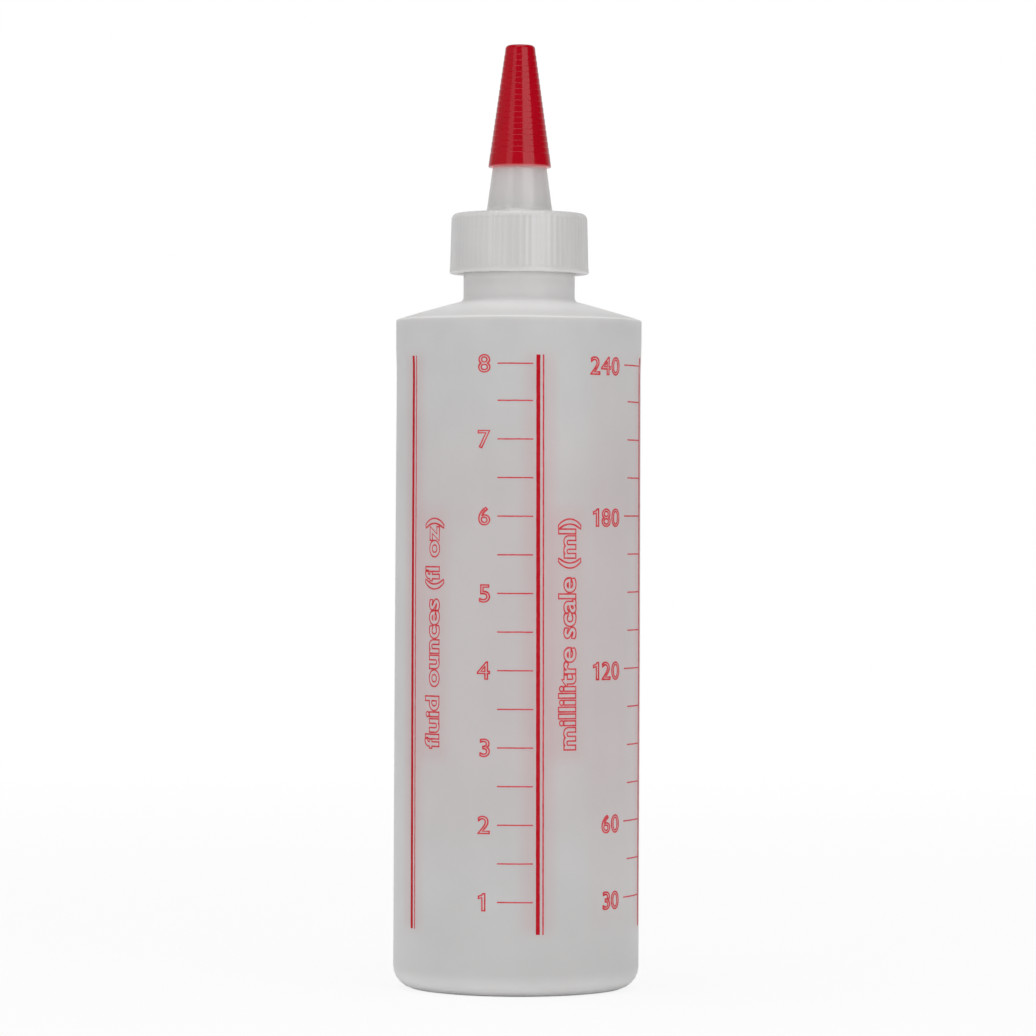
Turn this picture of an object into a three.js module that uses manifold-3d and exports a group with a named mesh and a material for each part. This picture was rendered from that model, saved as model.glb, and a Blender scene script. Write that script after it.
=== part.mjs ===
// Squeeze bottle with a screw-on spout closure and a push-on tip cap.
// A thin blow-moulded bottle carries a threaded neck. A ribbed closure with a long hollow spout screws
// onto the neck and presses a foam liner on the mouth. A slim conical cap pushes over the spout.
// Millimetres, +Z up, origin at the centre of the base on the table, front towards -Y.
import * as THREE from "three";
import { mergeVertices } from "three/addons/utils/BufferGeometryUtils.js";
import Module from "manifold-3d";

// Bottle body
const BODY_DIAMETER = 50.8;
const BODY_HEIGHT = 137.8; // table to shoulder edge
const BODY_WALL = 0.9;
const HEEL_RADIUS = 4.5;
const STANDING_RING_WIDTH = 3.2;
const PUSH_UP_HEIGHT = 2.2;
const PUSH_UP_SLOPE_WIDTH = 4;
const SHOULDER_EDGE_RADIUS = 0.9;
const SHOULDER_RISE = 3.7;

// Neck and its thread
const NECK_DIAMETER = 23;
const NECK_FILLET = 1.1;
const PLAIN_NECK_HEIGHT = 6.4; // smooth neck between the shoulder and the threaded finish
const FINISH_HEIGHT = 15.9; // shoulder to mouth
const MOUTH_BORE = 18.6;
const MOUTH_EDGE_RADIUS = 0.35;
const THREAD_ROOT_DIAMETER = 21.5;
const THREAD_DEPTH = 1.1;
const THREAD_PITCH = 3.175;
const THREAD_TURNS = 1.5;
const THREAD_START = 2.4; // mouth to the centre of the thread's first turn
const THREAD_FOOT_WIDTH = 1.6;
const THREAD_CREST_WIDTH = 0.7;

// Closure
const THREAD_CLEARANCE = 0.35; // radial, at both crests
const SKIRT_WALL = 1.85;
const SKIRT_HEIGHT = 12.5;
const SKIRT_DRAFT = 0.35; // the skirt is this much wider, in radius, at its lower edge
const CLOSURE_TOP = 1.3;
const CLOSURE_EDGE_RADIUS = 1.2;
const SKIRT_EDGE_RADIUS = 0.25;
const SKIRT_MOUTH_CHAMFER = 0.5;
const RIB_COUNT = 68;
const RIB_DEPTH = 0.3;
const RIB_PLAIN_BAND = 0.9; // smooth band below the ribs
const SPOUT_BASE_DIAMETER = 13.7;
const SPOUT_HEIGHT = 33.35; // closure top to orifice
const SPOUT_TAPER = 0.1345; // radius lost per unit of height
const SPOUT_WALL = 1.2;
const SPOUT_BASE_FILLET = 0.6;
const SPOUT_END_RADIUS = 0.4;
const ORIFICE_DIAMETER = 2.6;

// Liner
const LINER_THICKNESS = 1;
const LINER_COVER = 1.3; // how far the liner reaches inside the mouth's bore
const LINER_CLEARANCE = 0.3; // radial, to the closure's wall
const SEAT_GAP = 0.1; // above and below the liner

// Tip cap
const TIP_CLEARANCE = 0.3; // between spout and cap
const TIP_WALL = 0.68;
const TIP_TOP = 1.2;
const TIP_EDGE_RADIUS = 0.75;
const BARE_SPOUT = 9.55; // spout left uncovered between the closure and the cap

// How finely round things are faceted
const ROUND_STEPS = 48;
const ARC_STEPS = 3;
const THREAD_STEPS_PER_TURN = 36;
const THREAD_RUN_OUT = 0.12; // share of the thread's length over which each end fades
const THREAD_SINK = 0.4; // how deep a ridge is rooted in its wall
const MERGE_DISTANCE = 1e-4;

// Heights and radii that the pieces share
const bodyRadius = BODY_DIAMETER / 2;
const neckRadius = NECK_DIAMETER / 2;
const mouthRadius = MOUTH_BORE / 2;
const threadRoot = THREAD_ROOT_DIAMETER / 2;
const threadCrest = threadRoot + THREAD_DEPTH;
const shoulderTop = BODY_HEIGHT + SHOULDER_RISE;
const mouthHeight = shoulderTop + FINISH_HEIGHT;
const linerBottom = mouthHeight + SEAT_GAP;
const closureCeiling = linerBottom + LINER_THICKNESS + SEAT_GAP;
const closureTop = closureCeiling + CLOSURE_TOP;
const closureWall = threadCrest + THREAD_CLEARANCE;
const spoutBase = SPOUT_BASE_DIAMETER / 2;
const spoutEnd = closureTop + SPOUT_HEIGHT;

const wasm = await Module();
wasm.setup();

// A closed three.js geometry as a solid for joining and cutting.
function solidOf(geometry) {
  const bare = new THREE.BufferGeometry();
  const loose = geometry.index ? geometry.toNonIndexed() : geometry;
  bare.setAttribute("position", loose.getAttribute("position"));
  const merged = mergeVertices(bare, MERGE_DISTANCE);
  const triVerts = [];
  for (let i = 0; i < merged.index.count; i += 3) {
    const [a, b, c] = merged.index.array.slice(i, i + 3);
    if (a !== b && b !== c && c !== a) triVerts.push(a, b, c);
  }
  return new wasm.Manifold(
    new wasm.Mesh({
      numProp: 3,
      vertProperties: merged.attributes.position.array,
      triVerts: new Uint32Array(triVerts),
    }),
  );
}

// A solid as a three.js geometry.
function geometryOf(solid) {
  const mesh = solid.getMesh();
  const geometry = new THREE.BufferGeometry();
  geometry.setAttribute(
    "position",
    new THREE.BufferAttribute(new Float32Array(mesh.vertProperties), mesh.numProp),
  );
  geometry.setIndex([...mesh.triVerts]);
  geometry.computeVertexNormals();
  return geometry;
}

// Points along [radius, height, fillet] corners, with an arc of that fillet at each corner that has one.
// A fillet is limited to what its two edges can hold.
function outline(corners) {
  const points = [];
  corners.forEach(([x, y, fillet = 0], i) => {
    const corner = new THREE.Vector2(x, y);
    if (!fillet) {
      points.push(corner);
      return;
    }
    const last = corners.length - 1;
    const [beforeX, beforeY] = corners[i === 0 ? last : i - 1];
    const [afterX, afterY] = corners[i === last ? 0 : i + 1];
    const back = new THREE.Vector2(beforeX, beforeY).sub(corner);
    const ahead = new THREE.Vector2(afterX, afterY).sub(corner);
    const room = 0.49 * Math.min(back.length(), ahead.length());
    back.normalize();
    ahead.normalize();
    const half = Math.acos(THREE.MathUtils.clamp(back.dot(ahead), -1, 1)) / 2;
    const reach = Math.min(fillet / Math.tan(half), room);
    const radius = reach * Math.tan(half);
    const toCentre = back.clone().add(ahead).setLength(radius / Math.sin(half));
    const centre = corner.clone().add(toCentre);
    const from = corner.clone().addScaledVector(back, reach).sub(centre);
    const turn = (Math.PI - 2 * half) * -Math.sign(back.cross(ahead));
    for (let step = 0; step <= ARC_STEPS; step++) {
      points.push(from.clone().rotateAround(new THREE.Vector2(), (turn * step) / ARC_STEPS).add(centre));
    }
  });
  return points;
}

// A round piece: an outline in the radius-height plane turned about +Z.
function turned(points) {
  return new THREE.LatheGeometry(points, ROUND_STEPS).rotateX(Math.PI / 2);
}

// A ring or tube: an outline that closes on itself, clear of the axis.
function turnedRing(points) {
  return turned([...points, points[0].clone()]);
}

// A helical ridge: a straight bar with the thread's section, wrapped round the axis so that it climbs one
// pitch a turn. `foot` is the radius of the wall it grows from, `crest` the radius of its free edge.
// It is centred on `height` at angle 0, runs on for `turns`, and dives into its wall at both ends.
function threadRidge(foot, crest, height, turns) {
  const outward = Math.sign(crest - foot);
  const root = foot - outward * THREAD_SINK;
  const buried = foot - outward * 0.5 * THREAD_SINK;
  const flare = ((THREAD_FOOT_WIDTH - THREAD_CREST_WIDTH) * THREAD_SINK) / Math.abs(crest - foot);
  const halfRoot = (THREAD_FOOT_WIDTH + flare) / 2;
  const halfCrest = THREAD_CREST_WIDTH / 2;
  const section = new THREE.Shape([
    new THREE.Vector2(root, -halfRoot),
    new THREE.Vector2(crest, -halfCrest),
    new THREE.Vector2(crest, halfCrest),
    new THREE.Vector2(root, halfRoot),
  ]);
  const steps = Math.ceil(turns * THREAD_STEPS_PER_TURN);
  const bar = new THREE.ExtrudeGeometry(section, { depth: 1, steps, bevelEnabled: false });
  const position = bar.getAttribute("position");
  for (let i = 0; i < position.count; i++) {
    const along = position.getZ(i);
    const angle = along * turns * 2 * Math.PI;
    const rise = Math.min(1, along / THREAD_RUN_OUT, (1 - along) / THREAD_RUN_OUT);
    const isCrest = Math.abs(position.getY(i)) < (halfCrest + halfRoot) / 2;
    const radius = isCrest ? THREE.MathUtils.lerp(buried, crest, rise) : root;
    const climb = height + (THREAD_PITCH * angle) / (2 * Math.PI) - position.getY(i);
    position.setXYZ(i, radius * Math.cos(angle), radius * Math.sin(angle), climb);
  }
  return bar;
}

function plastic(color, roughness) {
  return new THREE.MeshStandardMaterial({ color, roughness, metalness: 0 });
}

function piece(name, geometry, material) {
  const mesh = new THREE.Mesh(geometry, material);
  mesh.name = name;
  return mesh;
}

// The bottle: one thin-walled moulding with a recessed base, a shallow conical shoulder and a threaded neck.
function makeBottle() {
  const innerRadius = bodyRadius - BODY_WALL;
  const ringInner = bodyRadius - HEEL_RADIUS - STANDING_RING_WIDTH;
  const panelRadius = ringInner - PUSH_UP_SLOPE_WIDTH;
  const shoulderSlope = Math.atan2(SHOULDER_RISE, bodyRadius - neckRadius);
  const underShoulder = (radius) =>
    BODY_HEIGHT + (bodyRadius - radius) * Math.tan(shoulderSlope) - BODY_WALL / Math.cos(shoulderSlope);
  const plainNeckTop = shoulderTop + PLAIN_NECK_HEIGHT;
  const baseTop = PUSH_UP_HEIGHT + BODY_WALL;
  const wall = outline([
    [0, PUSH_UP_HEIGHT],
    [panelRadius, PUSH_UP_HEIGHT, PUSH_UP_SLOPE_WIDTH],
    [ringInner, 0, BODY_WALL],
    [bodyRadius, 0, HEEL_RADIUS],
    [bodyRadius, BODY_HEIGHT, SHOULDER_EDGE_RADIUS],
    [neckRadius, shoulderTop, NECK_FILLET],
    [neckRadius, plainNeckTop],
    [threadRoot, plainNeckTop + neckRadius - threadRoot],
    [threadRoot, mouthHeight, MOUTH_EDGE_RADIUS],
    [mouthRadius, mouthHeight, MOUTH_EDGE_RADIUS],
    [mouthRadius, underShoulder(mouthRadius), NECK_FILLET + BODY_WALL],
    [innerRadius, underShoulder(innerRadius)],
    [innerRadius, BODY_WALL, HEEL_RADIUS - BODY_WALL],
    [ringInner, BODY_WALL],
    [panelRadius, baseTop],
    [0, baseTop],
  ]);
  const threadLow = mouthHeight - THREAD_START - THREAD_TURNS * THREAD_PITCH;
  const thread = threadRidge(threadRoot, threadCrest, threadLow, THREAD_TURNS);
  const solid = solidOf(turned(wall)).add(solidOf(thread));
  return piece("bottle", geometryOf(solid), plastic(0xc9c9c6, 0.45));
}

// The liner: a foam washer held in the closure above its thread, which seals on the mouth's rim.
function makeLiner() {
  const outer = closureWall - LINER_CLEARANCE;
  const inner = mouthRadius - LINER_COVER;
  const washer = outline([
    [inner, linerBottom],
    [outer, linerBottom],
    [outer, linerBottom + LINER_THICKNESS],
    [inner, linerBottom + LINER_THICKNESS],
  ]);
  return piece("liner", turnedRing(washer), plastic(0xe9e8e2, 0.9));
}

// A ring round the closure whose inside is a row of ribs. Taking it away leaves the grooves of the grip.
function gripCutter(low, high, gripRadius) {
  const outside = new THREE.Shape();
  const clear = 2 * RIB_DEPTH;
  outside.absarc(0, 0, gripRadius + SKIRT_DRAFT + clear, 0, 2 * Math.PI);
  const ribs = [];
  for (let i = 0; i < RIB_COUNT; i++) {
    for (const [share, depth] of [[0, -RIB_DEPTH / 3], [0.5, RIB_DEPTH]]) {
      const angle = ((i + share) * 2 * Math.PI) / RIB_COUNT;
      ribs.push(new THREE.Vector2(gripRadius - depth, 0).rotateAround(new THREE.Vector2(), angle));
    }
  }
  outside.holes.push(new THREE.Path(ribs));
  const cutter = new THREE.ExtrudeGeometry(outside, {
    depth: high - low,
    bevelEnabled: false,
    curveSegments: ROUND_STEPS,
  });
  const position = cutter.getAttribute("position");
  for (let i = 0; i < position.count; i++) {
    const flat = new THREE.Vector2(position.getX(i), position.getY(i));
    const height = low + position.getZ(i);
    flat.setLength(flat.length() + (SKIRT_DRAFT * (closureTop - height)) / SKIRT_HEIGHT);
    position.setXYZ(i, flat.x, flat.y, height);
  }
  return cutter;
}

// The closure: a ribbed skirt with an inner thread, a flat top and a long tapered spout with its channel.
function makeSpoutCap() {
  const skirtBottom = closureTop - SKIRT_HEIGHT;
  const gripRadius = closureWall + SKIRT_WALL;
  const spoutTip = spoutBase - SPOUT_TAPER * SPOUT_HEIGHT;
  const shell = outline([
    [gripRadius + SKIRT_DRAFT, skirtBottom, SKIRT_EDGE_RADIUS],
    [gripRadius, closureTop, CLOSURE_EDGE_RADIUS],
    [spoutBase, closureTop, SPOUT_BASE_FILLET],
    [spoutTip, spoutEnd, SPOUT_END_RADIUS],
    [ORIFICE_DIAMETER / 2, spoutEnd, SPOUT_END_RADIUS / 2],
    [spoutBase - SPOUT_WALL, closureCeiling, SPOUT_BASE_FILLET],
    [closureWall, closureCeiling],
    [closureWall, skirtBottom + SKIRT_MOUTH_CHAMFER],
    [closureWall + SKIRT_MOUTH_CHAMFER, skirtBottom],
  ]);
  const threadLow = mouthHeight - THREAD_START - (THREAD_TURNS + 0.5) * THREAD_PITCH;
  const thread = threadRidge(closureWall, threadRoot + THREAD_CLEARANCE, threadLow, THREAD_TURNS);
  const gripLow = skirtBottom + RIB_PLAIN_BAND;
  const gripHigh = closureTop - CLOSURE_EDGE_RADIUS;
  const solid = solidOf(turnedRing(shell))
    .add(solidOf(thread))
    .subtract(solidOf(gripCutter(gripLow, gripHigh, gripRadius)));
  return piece("spout_cap", geometryOf(solid), plastic(0xd2d2d0, 0.42));
}

// The tip cap: a slim cone, open below, that follows the spout's taper and closes its orifice.
function makeTipCap() {
  const rim = closureTop + BARE_SPOUT;
  const ceiling = spoutEnd + TIP_CLEARANCE;
  const boreAt = (height) => spoutBase - SPOUT_TAPER * (height - closureTop) + TIP_CLEARANCE;
  const top = ceiling + TIP_TOP;
  const cone = outline([
    [0, ceiling],
    [boreAt(ceiling), ceiling],
    [boreAt(rim), rim],
    [boreAt(rim) + TIP_WALL, rim],
    [boreAt(top) + TIP_WALL, top, TIP_EDGE_RADIUS],
    [0, top],
  ]);
  return piece("tip_cap", turned(cone), plastic(0xa80f1e, 0.35));
}

const squeezeBottle = new THREE.Group();
squeezeBottle.name = "squeeze_bottle";
squeezeBottle.add(makeBottle(), makeLiner(), makeSpoutCap(), makeTipCap());

export default squeezeBottle;
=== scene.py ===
import math

import bmesh
import bpy
from mathutils import Matrix, Vector, noise


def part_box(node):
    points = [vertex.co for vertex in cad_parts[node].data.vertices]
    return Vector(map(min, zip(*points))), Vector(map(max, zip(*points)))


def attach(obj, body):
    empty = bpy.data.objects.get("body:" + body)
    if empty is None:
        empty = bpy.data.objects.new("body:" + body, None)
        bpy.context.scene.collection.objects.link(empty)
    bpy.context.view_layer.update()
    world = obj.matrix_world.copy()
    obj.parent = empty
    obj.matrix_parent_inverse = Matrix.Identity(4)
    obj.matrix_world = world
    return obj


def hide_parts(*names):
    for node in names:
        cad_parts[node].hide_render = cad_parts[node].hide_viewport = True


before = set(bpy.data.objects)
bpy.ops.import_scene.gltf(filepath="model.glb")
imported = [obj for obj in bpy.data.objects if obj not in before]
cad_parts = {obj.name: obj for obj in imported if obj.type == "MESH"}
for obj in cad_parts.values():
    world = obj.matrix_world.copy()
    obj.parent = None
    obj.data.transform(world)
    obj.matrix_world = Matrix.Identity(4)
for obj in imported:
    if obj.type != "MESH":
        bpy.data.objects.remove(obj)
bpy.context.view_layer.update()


# Bottle: one hollow piece of milky polyethylene, blown from a tube inside a mould of two halves.
# Its base is pushed up inside a standing ring, its wall is satin, and its neck carries a
# right-hand screw thread. The halves of the mould leave a faint line down both sides.
MM = 0.001
INK_FILM = 0.02 * MM
BODY_WALL = 0.9 * MM
HEEL_RADIUS = 4.5 * MM
STANDING_RING = 3.2 * MM
PUSH_UP_HEIGHT = 2.2 * MM
PUSH_UP_SLOPE = 4 * MM
PUSH_UP_ROUNDING = 1.6 * MM
RING_ROUNDING = 0.9 * MM
FINISH_HEIGHT = 15.65 * MM
SHOULDER_RISE = 3.95 * MM
SHOULDER_EDGE = 0.25 * MM
SHOULDER_CROWN = 0.17 * MM
SHOULDER_BEND = 5 * MM
WAIST_DEPTH = 0.15 * MM
WAIST_DROP = 10.3 * MM
BAND_DROP = 6.2 * MM
WAIST_ROUNDING = 2 * MM
NECK_RADIUS = 11.5 * MM
NECK_FILLET = 0.8 * MM
PLAIN_NECK = 6.15 * MM
NECK_LEDGE_EDGE = 0.3 * MM
MOUTH_RADIUS = 9.3 * MM
MOUTH_EDGE = 0.35 * MM
THREAD_ROOT = 10.75 * MM
THREAD_DEPTH = 1.1 * MM
THREAD_PITCH = 3.175 * MM
THREAD_TURNS = 1.5
THREAD_START = 2.4 * MM
THREAD_FOOT = 1.6 * MM
THREAD_CREST = 0.7 * MM
THREAD_SINK = 0.4 * MM
THREAD_STEPS = 72
THREAD_RUN_OUT = 0.08
THREAD_END = 0.1
SKIRT_LAP = 0.6 * MM
CORNER_STEPS = 6
BOTTLE_STEPS = 192
PARTING_WIDTH = 0.22 * MM
BOTTLE_GRAIN = 0.03 * MM
BOTTLE_SATIN = 0.36
BOTTLE_THIN = (0.622, 0.615, 0.613, 1)
BOTTLE_PALEST = (0.900, 0.884, 0.878, 1)
HEEL_RUN = 5 * MM
HEEL_SEAT = 1 * MM
HEEL_PALE = 0.68
SEAT_PAINTED_LIGHT = 0.32
EDGE_PAINTED_HIGHLIGHT = 0.35
EDGE_HIGHLIGHT_FADE = -0.12
SHOULDER_PALE = 0.77
NECK_FOOT_RUN = 0.5 * MM
NECK_FADE = -0.7
LEDGE_RUN = 2.6 * MM
LEDGE_PAINTED_LIGHT = 0.7
LEDGE_FADE = -0.6
CLOUDS_PER_METRE = 55
CLOUD_DETAIL = 3
CLOUD_RANGE = (0.3, 0.7)
CLOUD_DEPTH = 0.09
CLOUD_COLOUR = (0.35, 0.342, 0.340, 1)
DRAW_LINES_PER_METRE = 650
DRAW_LINE_STRETCH = (1, 1, 0.04)
DRAW_LINE_SHARE = 0.7
SKIN_LUMPS_PER_METRE = 2600
SKIN_DETAIL = 1
SKIN_SHARE = 0.3
SATIN_SPREAD = 0.1
PARTING_STAND = 2
PLAIN_GLOSS = 0.5
LIGHT_REACH = 2 * MM
LIGHT_TINT = (1.0, 0.97, 0.95)
MERGE_DISTANCE = 0.001 * MM
SHARP_ANGLE = math.radians(38)

_, bottle_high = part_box("bottle")
body_radius = bottle_high.x - 2 * INK_FILM
mouth_height = bottle_high.z
neck_foot = mouth_height - FINISH_HEIGHT
neck_ledge = neck_foot + PLAIN_NECK
shoulder_edge = neck_foot - SHOULDER_RISE
shoulder_middle = (body_radius + NECK_RADIUS) / 2
shoulder_crown = (shoulder_edge + neck_foot) / 2 + SHOULDER_CROWN
ring_inside = body_radius - HEEL_RADIUS - STANDING_RING
push_up_radius = ring_inside - PUSH_UP_SLOPE
inner_radius = body_radius - BODY_WALL
inner_heel = HEEL_RADIUS - BODY_WALL
inner_push_up = PUSH_UP_HEIGHT + BODY_WALL

wall_line = [
    (body_radius, HEEL_RADIUS),
    (body_radius, shoulder_edge / 2),
    (body_radius - WAIST_DEPTH, shoulder_edge - WAIST_DROP),
    (body_radius, shoulder_edge - BAND_DROP),
    (body_radius, shoulder_edge),
]
outer_corners = [
    (0, PUSH_UP_HEIGHT, 0),
    (push_up_radius, PUSH_UP_HEIGHT, PUSH_UP_ROUNDING),
    (ring_inside, 0, RING_ROUNDING),
    (body_radius, 0, HEEL_RADIUS),
    (*wall_line[1], WAIST_ROUNDING),
    (*wall_line[2], WAIST_ROUNDING),
    (*wall_line[3], WAIST_ROUNDING),
    (*wall_line[4], SHOULDER_EDGE),
    (shoulder_middle, shoulder_crown, SHOULDER_BEND),
    (NECK_RADIUS, neck_foot, NECK_FILLET),
    (NECK_RADIUS, neck_ledge, NECK_LEDGE_EDGE),
    (THREAD_ROOT, neck_ledge, NECK_LEDGE_EDGE),
    (THREAD_ROOT, mouth_height, MOUTH_EDGE),
]
inner_corners = [
    (MOUTH_RADIUS, mouth_height, MOUTH_EDGE),
    (MOUTH_RADIUS, neck_foot - BODY_WALL, NECK_FILLET),
    (inner_radius, shoulder_edge - BODY_WALL, SHOULDER_EDGE),
    (inner_radius, BODY_WALL, inner_heel),
    (ring_inside, BODY_WALL, RING_ROUNDING),
    (push_up_radius, inner_push_up, PUSH_UP_ROUNDING),
    (0, inner_push_up, 0),
]


def turned(corners, steps, closed=False):
    """An outline of (radius, height, rounding) corners, turned once round the bottle's axis."""
    shape = bmesh.new()
    points = [shape.verts.new((radius, 0, height)) for radius, height, _ in corners]
    following = points[1:] + points[:1] * closed
    for point, next_point in zip(points, following):
        shape.edges.new((point, next_point))
    for point, (_, _, rounding) in zip(points, corners):
        if rounding:
            bmesh.ops.bevel(
                shape,
                geom=[point],
                offset=rounding,
                segments=CORNER_STEPS,
                profile=0.5,
                affect="VERTICES",
                material=-1,
            )
    bmesh.ops.spin(
        shape,
        geom=shape.verts[:] + shape.edges[:],
        axis=(0, 0, 1),
        angle=2 * math.pi,
        steps=steps,
        use_merge=True,
    )
    bmesh.ops.remove_doubles(shape, verts=shape.verts, dist=MERGE_DISTANCE)
    bmesh.ops.recalc_face_normals(shape, faces=shape.faces)
    return shape


def thread_ridge(wall, crest, height, turns):
    """A right-hand helical ridge whose foot is sunk in a wall and whose ends run out into it."""
    ridge = bmesh.new()
    foot = wall + math.copysign(THREAD_SINK, wall - crest)
    section = [
        (foot, -THREAD_FOOT / 2),
        (crest, -THREAD_CREST / 2),
        (crest, THREAD_CREST / 2),
        (foot, THREAD_FOOT / 2),
    ]
    points = [ridge.verts.new((radius, 0, height + rise)) for radius, rise in section]
    for point, next_point in zip(points, points[1:] + points[:1]):
        ridge.edges.new((point, next_point))
    steps = round(turns * THREAD_STEPS)
    bmesh.ops.spin(
        ridge,
        geom=ridge.verts[:] + ridge.edges[:],
        axis=(0, 0, 1),
        dvec=(0, 0, THREAD_PITCH * turns / steps),
        angle=2 * math.pi * turns,
        steps=steps,
    )
    for index, point in enumerate(ridge.verts):
        along = index // len(section) / steps
        stand = max(THREAD_END, min(1, along / THREAD_RUN_OUT, (1 - along) / THREAD_RUN_OUT))
        radius = point.co.xy.length
        point.co.xy *= (foot + (radius - foot) * stand) / radius
    bmesh.ops.holes_fill(ridge, edges=ridge.edges, sides=len(section))
    bmesh.ops.recalc_face_normals(ridge, faces=ridge.faces)
    return ridge


def placed(shape, name, finish=None):
    """The object of a finished bmesh, smooth but for its sharp edges."""
    mesh = bpy.data.meshes.new(name)
    shape.to_mesh(mesh)
    shape.free()
    mesh.shade_smooth()
    mesh.set_sharp_from_angle(angle=SHARP_ANGLE)
    if finish:
        mesh.materials.append(finish)
    piece = bpy.data.objects.new(name, mesh)
    bpy.context.scene.collection.objects.link(piece)
    return piece


def threaded(piece, ridge):
    """Joins a thread's ridge to the piece that carries it."""
    helix = placed(ridge, "thread")
    union = piece.modifiers.new("thread", "BOOLEAN")
    union.operation = "UNION"
    union.solver = "EXACT"
    union.object = helix
    with bpy.context.temp_override(object=piece, active_object=piece):
        bpy.ops.object.modifier_apply(modifier=union.name)
    bpy.data.meshes.remove(helix.data)
    piece.data.shade_smooth()
    piece.data.set_sharp_from_angle(angle=SHARP_ANGLE)


class Wire:
    """An output in a tree of nodes: sums on it add Math nodes, and node() adds any other kind."""

    def __init__(self, tree, socket=None):
        self.tree = tree
        self.socket = socket

    def node(self, kind, settings=None, entries=None, output=0):
        added = self.tree.nodes.new(kind)
        for name, value in (settings or {}).items():
            setattr(added, name, value)
        for name, value in (entries or {}).items():
            if isinstance(value, Wire):
                self.tree.links.new(value.socket, added.inputs[name])
            else:
                added.inputs[name].default_value = value
        return Wire(self.tree, added.outputs[output] if added.outputs else None)

    def also(self, output):
        """Another output of the same node."""
        return Wire(self.tree, self.socket.node.outputs[output])

    def math(self, operation, *values):
        return self.node("ShaderNodeMath", {"operation": operation}, dict(enumerate(values)))

    def __add__(self, other):
        return self.math("ADD", self, other)

    def __sub__(self, other):
        return self.math("SUBTRACT", self, other)

    def __rsub__(self, other):
        return self.math("SUBTRACT", other, self)

    def __mul__(self, other):
        return self.math("MULTIPLY", self, other)

    __radd__ = __add__
    __rmul__ = __mul__

    def between(self, low, high):
        """0 where this is at low, 1 where it is at high, with a soft run between them."""
        entries = {"Value": self, "From Min": low, "From Max": high}
        return self.node("ShaderNodeMapRange", {"interpolation_type": "SMOOTHSTEP"}, entries)

    def tint(self, first, second):
        """The first colour where this is 0 and the second where it is 1."""
        settings = {"data_type": "RGBA"}
        return self.node("ShaderNodeMix", settings, {0: self, 6: first, 7: second}, output=2)

    def stretched(self, *scale):
        """Coordinates drawn out along the axes whose scale is small."""
        return self.node("ShaderNodeMapping", None, {"Vector": self, "Scale": scale})

    def noise(self, scale, detail=2.0):
        """Noise at these coordinates, with so many lumps to the metre."""
        entries = {"Vector": self, "Scale": scale, "Detail": detail}
        return self.node("ShaderNodeTexNoise", None, entries)


def new_finish(name):
    """An empty material, the start of its nodes, and the coordinates of the piece that wears it."""
    finish = bpy.data.materials.new(name)
    finish.use_nodes = True
    finish.node_tree.nodes.clear()
    start = Wire(finish.node_tree)
    coordinates = start.node("ShaderNodeTexCoord", output="Object")
    return finish, start, coordinates


def surfaced(start, **entries):
    """Ends a material in a plain dielectric surface with these entries."""
    named = {name.replace("_", " "): value for name, value in entries.items()}
    surface = start.node("ShaderNodeBsdfPrincipled", None, named)
    start.node("ShaderNodeOutputMaterial", None, {"Surface": surface})


def bumped(start, height, depth, strength=1.0):
    """The surface's slope over a relief of a depth."""
    entries = {"Height": height, "Strength": strength, "Distance": depth}
    return start.node("ShaderNodeBump", None, entries)


def milky_plastic(name, thin, thick, runs, satin, grain, parting_line=0, gloss=PLAIN_GLOSS):
    """Milky polyethylene: faint clouds, draw lines and a satin skin, paler in runs of height.

    Each run is two heights, where the colour starts to change and where it has, and how far towards
    the thick colour it goes. The runs stand partly for thicker plastic and partly for painted light:
    painted light in shaded places and painted highlights on edges.
    """
    finish, start, place = new_finish(name)
    clouds = place.noise(CLOUDS_PER_METRE, CLOUD_DETAIL).between(*CLOUD_RANGE)
    draw_lines = place.stretched(*DRAW_LINE_STRETCH).noise(DRAW_LINES_PER_METRE)
    skin = place.noise(SKIN_LUMPS_PER_METRE, SKIN_DETAIL)
    depth = place.node("ShaderNodeSeparateXYZ", None, {"Vector": place}, output="Y")
    thickness = sum(amount * depth.also("Z").between(low, high) for low, high, amount in runs)
    seam = depth.math("ABSOLUTE", depth).between(PARTING_WIDTH, 0)
    relief = draw_lines * DRAW_LINE_SHARE + skin * SKIN_SHARE + seam * parting_line
    surfaced(
        start,
        Base_Color=(CLOUD_DEPTH * clouds).tint(thickness.tint(thin, thick), CLOUD_COLOUR),
        Roughness=satin + SATIN_SPREAD * skin,
        Specular_IOR_Level=gloss,
        Normal=bumped(start, relief, grain),
        Subsurface_Weight=1.0,
        Subsurface_Radius=LIGHT_TINT,
        Subsurface_Scale=LIGHT_REACH,
    )
    return finish


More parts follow.
